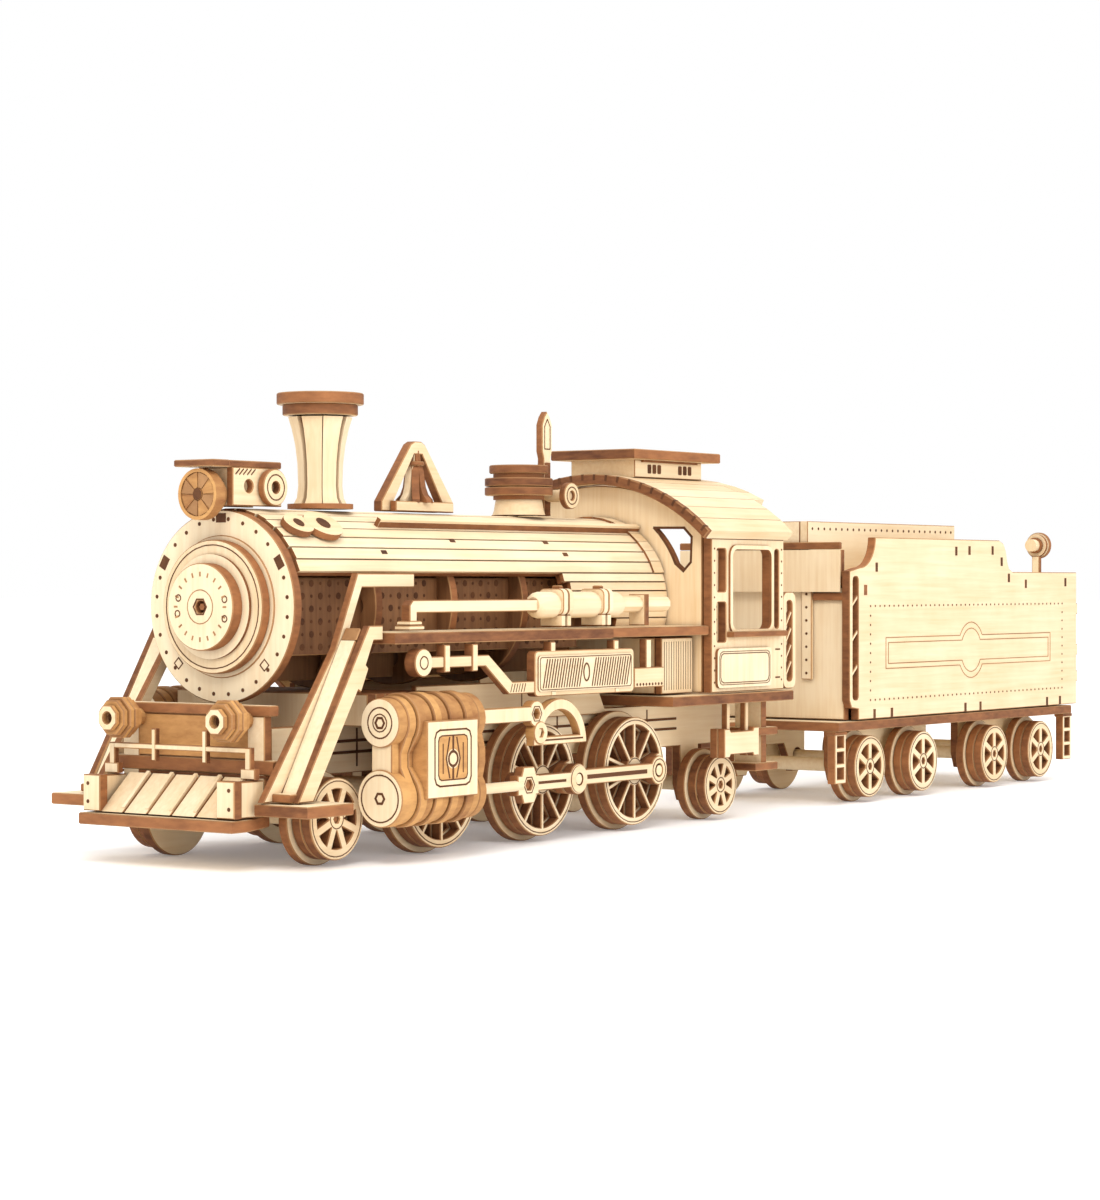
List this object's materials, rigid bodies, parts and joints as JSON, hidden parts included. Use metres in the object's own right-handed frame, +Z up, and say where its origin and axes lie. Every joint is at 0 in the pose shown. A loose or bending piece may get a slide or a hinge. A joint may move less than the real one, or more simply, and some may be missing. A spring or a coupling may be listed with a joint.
{
  "type": "wooden steam locomotive model kit",
  "caption": "Plywood construction-kit model of a steam locomotive and tender, with turning wheels, driving rods and a swinging tender.",
  "frame": {"origin": "centre of the bounding box in plan, on the surface the wheels stand on", "axes": "+X from the nose towards the rear of the tender, +Y to the right-hand side when looking from nose to tender, +Z up"},
  "size_m": [0.307, 0.067, 0.082],
  "materials": {
    "pale_ply": "bare sanded plywood faces, pale basswood",
    "edge_ply": "laser-burnt plywood edges with pale faces",
    "stack_ply": "stacked plywood plates showing their toasted edges",
    "dark_ply": "inner plywood formers, shaded and edge-burnt",
    "wheel_ply": "bare plywood discs with burnt rims and spokes"
  },
  "bodies": {
    "locomotive": {"air_tank_left": "pale_ply", "air_tank_right": "pale_ply", "bell_and_yoke": "pale_ply", "boiler_cladding": "pale_ply", "boiler_formers": "dark_ply", "buffer_beam": "pale_ply", "cab_floor": "edge_ply", "cab_front": "pale_ply", "cab_roof": "pale_ply", "cab_side_left": "pale_ply", "cab_side_right": "pale_ply", "chimney": "pale_ply", "chimney_cap": "edge_ply", "cooler_left": "pale_ply", "cooler_right": "pale_ply", "cowcatcher": "pale_ply", "cylinder_left": "stack_ply", "cylinder_right": "stack_ply", "cylinder_saddle": "dark_ply", "drawbar": "dark_ply", "firebox": "pale_ply", "frame_left": "pale_ply", "frame_right": "pale_ply", "frame_stretcher": "dark_ply", "front_brace_left": "pale_ply", "front_brace_right": "pale_ply", "front_deck": "edge_ply", "headlamp": "edge_ply", "headlamp_bracket": "pale_ply", "pilot_plate": "edge_ply", "roof_lantern": "edge_ply", "running_board_left": "edge_ply", "running_board_right": "edge_ply", "safety_valve": "edge_ply", "smokebox_door": "pale_ply", "smokebox_ring": "pale_ply", "steam_dome": "edge_ply"},
    "tender": {"tender_frame": "pale_ply", "tender_side_left": "pale_ply", "tender_side_right": "pale_ply", "tender_front": "pale_ply", "tender_rear": "pale_ply", "tender_deck": "pale_ply", "coal_bunker": "pale_ply"},
    "coupling_rod_left": {"coupling_rod_left": "pale_ply"},
    "coupling_rod_right": {"coupling_rod_right": "pale_ply"},
    "crosshead_left": {"crosshead_left": "pale_ply"},
    "crosshead_right": {"crosshead_right": "pale_ply"},
    "driver_wheelset_1": {"driver_wheelset_1": "wheel_ply"},
    "driver_wheelset_2": {"driver_wheelset_2": "wheel_ply"},
    "driver_wheelset_3": {"driver_wheelset_3": "wheel_ply"},
    "leading_wheelset": {"leading_wheelset": "wheel_ply"},
    "main_rod_left": {"main_rod_left": "pale_ply"},
    "main_rod_right": {"main_rod_right": "pale_ply"},
    "tender_wheelset_1": {"tender_wheelset_1": "wheel_ply"},
    "tender_wheelset_2": {"tender_wheelset_2": "wheel_ply"},
    "tender_wheelset_3": {"tender_wheelset_3": "wheel_ply"},
    "tender_wheelset_4": {"tender_wheelset_4": "wheel_ply"},
    "trailing_wheelset": {"trailing_wheelset": "wheel_ply"}
  },
  "joints": [
    {"name": "driver_2_spin", "type": "hinge", "parent": "locomotive", "child": "driver_wheelset_2", "pos_m": [-0.07195, 0, 0.01158], "axis": [0, 1, 0], "continuous": true},
    {"name": "driver_1_spin", "type": "hinge", "parent": "locomotive", "child": "driver_wheelset_1", "pos_m": [-0.10231, 0, 0.01158], "axis": [0, 1, 0], "continuous": true},
    {"name": "driver_3_spin", "type": "hinge", "parent": "locomotive", "child": "driver_wheelset_3", "pos_m": [-0.04159, 0, 0.01158], "axis": [0, 1, 0], "continuous": true},
    {"name": "leading_spin", "type": "hinge", "parent": "locomotive", "child": "leading_wheelset", "pos_m": [-0.13121, 0, 0.00813], "axis": [0, 1, 0], "continuous": true},
    {"name": "trailing_spin", "type": "hinge", "parent": "locomotive", "child": "trailing_wheelset", "pos_m": [-0.01059, 0, 0.0072], "axis": [0, 1, 0], "continuous": true},
    {"name": "coupling_rod_left_pin", "type": "hinge", "parent": "driver_wheelset_2", "child": "coupling_rod_left", "pos_m": [-0.06695, -0.0226, 0.01158], "axis": [0, 1, 0], "continuous": true},
    {"name": "main_rod_left_pin", "type": "hinge", "parent": "driver_wheelset_2", "child": "main_rod_left", "pos_m": [-0.06695, -0.0249, 0.01158], "axis": [0, 1, 0], "continuous": true},
    {"name": "crosshead_left_slide", "type": "slide", "parent": "locomotive", "child": "crosshead_left", "axis": [-1, 0, 0], "range_m": [0, 0.01]},
    {"name": "coupling_rod_right_pin", "type": "hinge", "parent": "driver_wheelset_2", "child": "coupling_rod_right", "pos_m": [-0.06695, 0.0226, 0.01158], "axis": [0, 1, 0], "continuous": true},
    {"name": "main_rod_right_pin", "type": "hinge", "parent": "driver_wheelset_2", "child": "main_rod_right", "pos_m": [-0.06695, 0.0249, 0.01158], "axis": [0, 1, 0], "continuous": true},
    {"name": "crosshead_right_slide", "type": "slide", "parent": "locomotive", "child": "crosshead_right", "axis": [-1, 0, 0], "range_m": [0, 0.01]},
    {"name": "tender_swing", "type": "hinge", "parent": "locomotive", "child": "tender", "pos_m": [0.01851, 0, 0.0161], "axis": [0, 0, 1], "range_deg": [-10, 10]},
    {"name": "tender_axle_1_spin", "type": "hinge", "parent": "tender", "child": "tender_wheelset_1", "pos_m": [0.04971, 0, 0.00789], "axis": [0, 1, 0], "continuous": true},
    {"name": "tender_axle_2_spin", "type": "hinge", "parent": "tender", "child": "tender_wheelset_2", "pos_m": [0.07381, 0, 0.00789], "axis": [0, 1, 0], "continuous": true},
    {"name": "tender_axle_3_spin", "type": "hinge", "parent": "tender", "child": "tender_wheelset_3", "pos_m": [0.10841, 0, 0.00789], "axis": [0, 1, 0], "continuous": true},
    {"name": "tender_axle_4_spin", "type": "hinge", "parent": "tender", "child": "tender_wheelset_4", "pos_m": [0.13251, 0, 0.00789], "axis": [0, 1, 0], "continuous": true}
  ],
  "couplings": [
    {"joint": "driver_1_spin", "follows": "driver_2_spin", "ratio": 1},
    {"joint": "driver_3_spin", "follows": "driver_2_spin", "ratio": 1},
    {"joint": "coupling_rod_left_pin", "follows": "driver_2_spin", "ratio": -1},
    {"joint": "main_rod_left_pin", "follows": "driver_2_spin", "ratio": -1},
    {"joint": "coupling_rod_right_pin", "follows": "driver_2_spin", "ratio": -1},
    {"joint": "main_rod_right_pin", "follows": "driver_2_spin", "ratio": -1}
  ]
}
